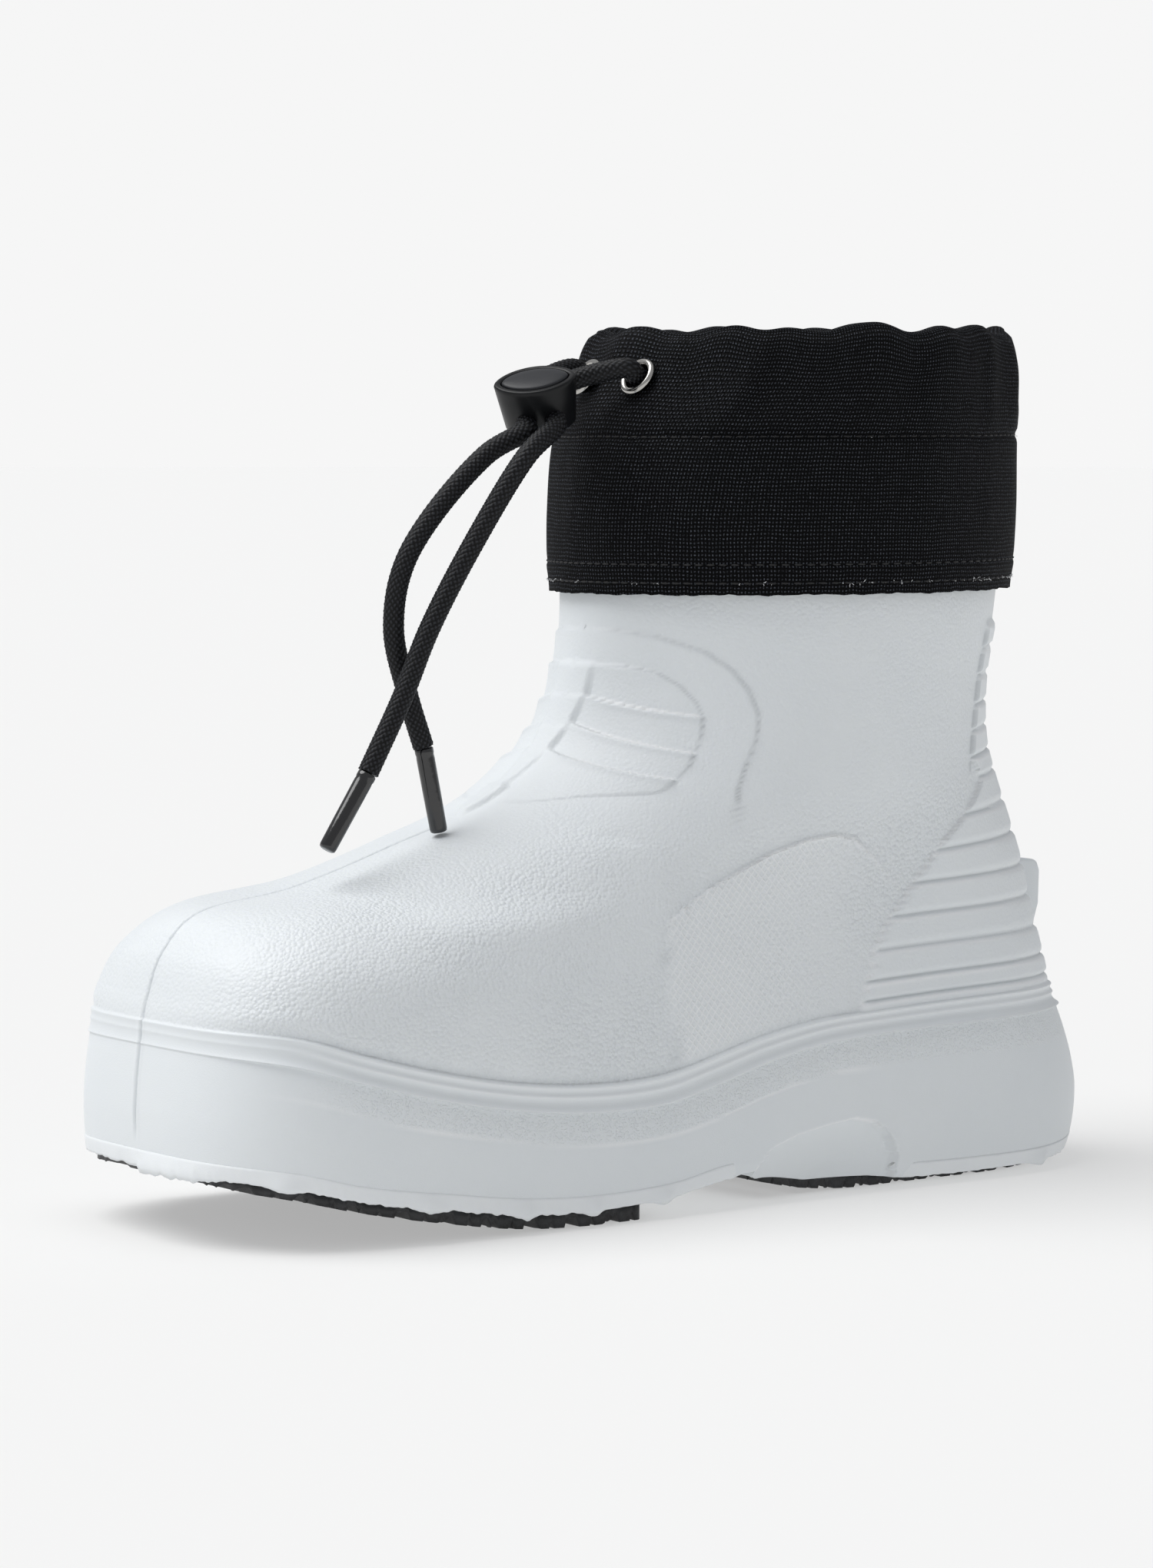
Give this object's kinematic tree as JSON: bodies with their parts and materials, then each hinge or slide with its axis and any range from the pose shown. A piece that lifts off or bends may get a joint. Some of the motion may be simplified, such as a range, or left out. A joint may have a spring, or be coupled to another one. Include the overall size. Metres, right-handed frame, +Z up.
{
  "type": "winter boot",
  "caption": "Left winter ankle boot: moulded foam shell and sole wall, rubber treads, gathered canvas cuff with a drawcord, eyelets and a push-button cord lock.",
  "frame": {"origin": "on the ground, under the middle of the boot's bounding box without its cords and lock", "axes": "+Z up, -Y towards the toe, +X towards the outer (lateral) side"},
  "size_m": [0.1018, 0.2754, 0.215],
  "materials": {
    "foam": "satin, fine grain",
    "tread_rubber": "matte",
    "felt": "matte",
    "canvas": "woven, matte",
    "nickel": "polished",
    "lock_plastic": "satin",
    "braid": "braided",
    "aglet_plastic": "gloss"
  },
  "bodies": {
    "boot": {"shell": "foam", "forefoot_tread": "tread_rubber", "heel_tread": "tread_rubber", "insole": "felt", "cuff": "canvas", "eyelet_lateral": "nickel", "eyelet_medial": "nickel", "cord_lock_body": "lock_plastic", "cord_lateral": "braid", "cord_medial": "braid", "aglet_lateral": "aglet_plastic", "aglet_medial": "aglet_plastic"},
    "lock_button": {"cord_lock_button": "lock_plastic"}
  },
  "joints": [
    {"name": "button_press", "type": "slide", "parent": "boot", "child": "lock_button", "axis": [-0.3141, 0.3699, -0.8744], "range_m": [0, 0.003], "stiffness_N_per_m": 800}
  ]
}
